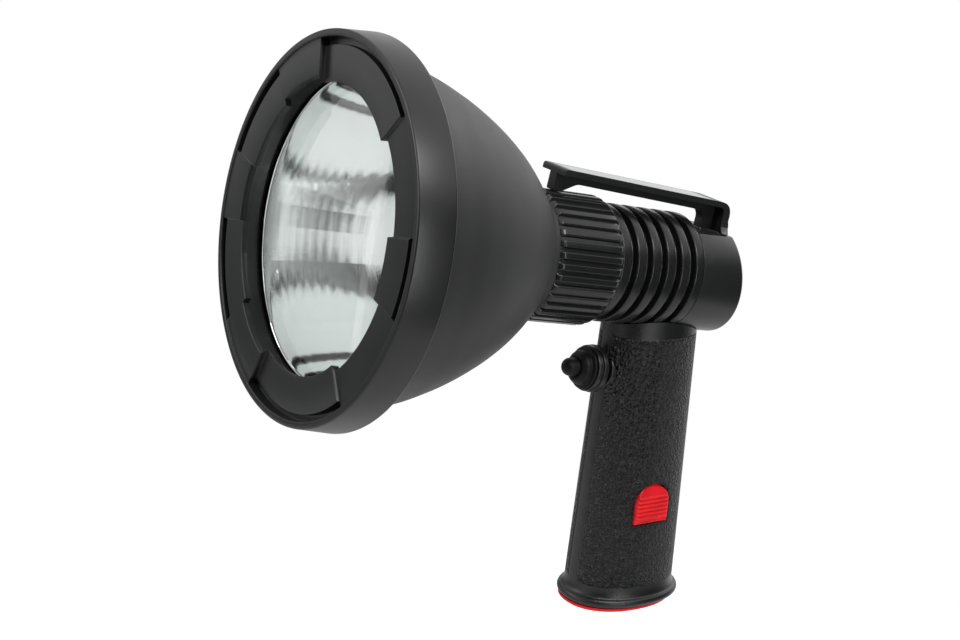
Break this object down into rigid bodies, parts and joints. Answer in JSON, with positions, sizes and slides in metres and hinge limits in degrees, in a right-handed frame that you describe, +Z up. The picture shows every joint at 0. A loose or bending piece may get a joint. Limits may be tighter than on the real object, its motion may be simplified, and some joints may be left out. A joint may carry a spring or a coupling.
{
  "type": "handheld searchlight",
  "caption": "Pistol-grip searchlight: deep reflector dish with a stepped filter seat, ribbed focus collar, finned body, top rail clip and a slide-out battery in the grip.",
  "frame": {"origin": "middle of the pistol grip, on the grip's own axis, where the closed hand holds it", "axes": "+Z up with the optical axis level, the beam leaves along -Y, +X towards the left hand of someone who holds it, the lamp is alike on both sides of X = 0"},
  "size_m": [0.1524, 0.221, 0.23],
  "materials": {
    "bezel_plastic": "satin black with a fine grain",
    "dish_plastic": "matte black with a fine grain",
    "grip_plastic": "matte black with a fine grain",
    "anodised_black": "black anodised, satin",
    "black_rubber": "soft, matte",
    "red_plastic": "satin red",
    "mirror_coat": "bright vapour coat",
    "clear_glass": "clear, flat",
    "circuit_board": "green lacquered board",
    "bare_aluminium": "machined",
    "steel": "zinc plated",
    "phosphor": "yellow phosphor",
    "brass": "bare",
    "red_wire": "insulated wire",
    "black_wire": "insulated wire",
    "cell_wrap": "shrink wrap over a metal can",
    "grey_plastic": "plain moulding"
  },
  "bodies": {
    "body": {"heat_sink": "anodised_black", "guide_key": "steel", "collar_circlip": "steel", "lamp_board": "bare_aluminium", "lamp_emitter": "phosphor", "driver_board": "circuit_board", "driver_ring": "brass", "lamp_wire_red": "red_wire", "lamp_wire_black": "black_wire", "supply_wire_red": "red_wire", "supply_wire_black": "black_wire", "rear_cap": "bezel_plastic", "cap_seal": "black_rubber", "top_clip": "bezel_plastic", "clip_screw": "steel", "grip": "grip_plastic", "grip_screw_front": "steel", "grip_screw_rear": "steel", "switch_housing": "bezel_plastic", "switch_boot": "black_rubber", "micro_switch": "grey_plastic", "contact_block": "grey_plastic", "contact_pin_front": "brass", "contact_pin_rear": "brass", "latch_spring_left": "steel", "latch_spring_right": "steel", "switch_nut": "steel", "switch_wire": "red_wire"},
    "head": {"bezel": "bezel_plastic", "bezel_seal": "black_rubber", "lens_gasket": "black_rubber", "lens": "clear_glass", "reflector": "mirror_coat", "dish": "dish_plastic", "neck_seal": "black_rubber"},
    "collar": {"focus_collar": "anodised_black"},
    "battery": {"battery_case": "grey_plastic", "battery_sleeve": "grey_plastic", "battery_lid": "grey_plastic", "cell_front": "cell_wrap", "cell_rear": "cell_wrap", "contact_plate_front": "brass", "contact_plate_rear": "brass", "battery_board": "circuit_board", "battery_base": "red_plastic", "charge_socket": "black_wire", "charge_lamp": "clear_glass", "base_screw_front": "steel", "base_screw_rear": "steel"},
    "latch_left": {"latch_left": "red_plastic"},
    "latch_right": {"latch_right": "red_plastic"},
    "switch": {"switch_tip": "black_rubber", "switch_plunger": "steel"}
  },
  "joints": [
    {"name": "focus_turn", "type": "hinge", "parent": "body", "child": "collar", "pos_m": [0, -0.06817, 0.08413], "axis": [0, 1, 0], "range_deg": [0, 270]},
    {"name": "head_slide", "type": "slide", "parent": "body", "child": "head", "axis": [0, -1, 0], "range_m": [0, 0.004]},
    {"name": "battery_slide", "type": "slide", "parent": "body", "child": "battery", "axis": [0, 0.1593, -0.9872], "range_m": [0, 0.09]},
    {"name": "latch_left_press", "type": "slide", "parent": "body", "child": "latch_left", "axis": [-1, 0, 0], "range_m": [0, 0.0018], "stiffness_N_per_m": 1500, "springref_m": -0.001},
    {"name": "latch_right_press", "type": "slide", "parent": "body", "child": "latch_right", "axis": [1, 0, 0], "range_m": [0, 0.0018], "stiffness_N_per_m": 1500, "springref_m": -0.001},
    {"name": "switch_press", "type": "slide", "parent": "body", "child": "switch", "axis": [0, 1, 0], "range_m": [0, 0.002], "stiffness_N_per_m": 1000, "springref_m": -0.002}
  ],
  "couplings": [
    {"joint": "head_slide", "follows": "focus_turn", "m_per_rad": 0.000848}
  ]
}
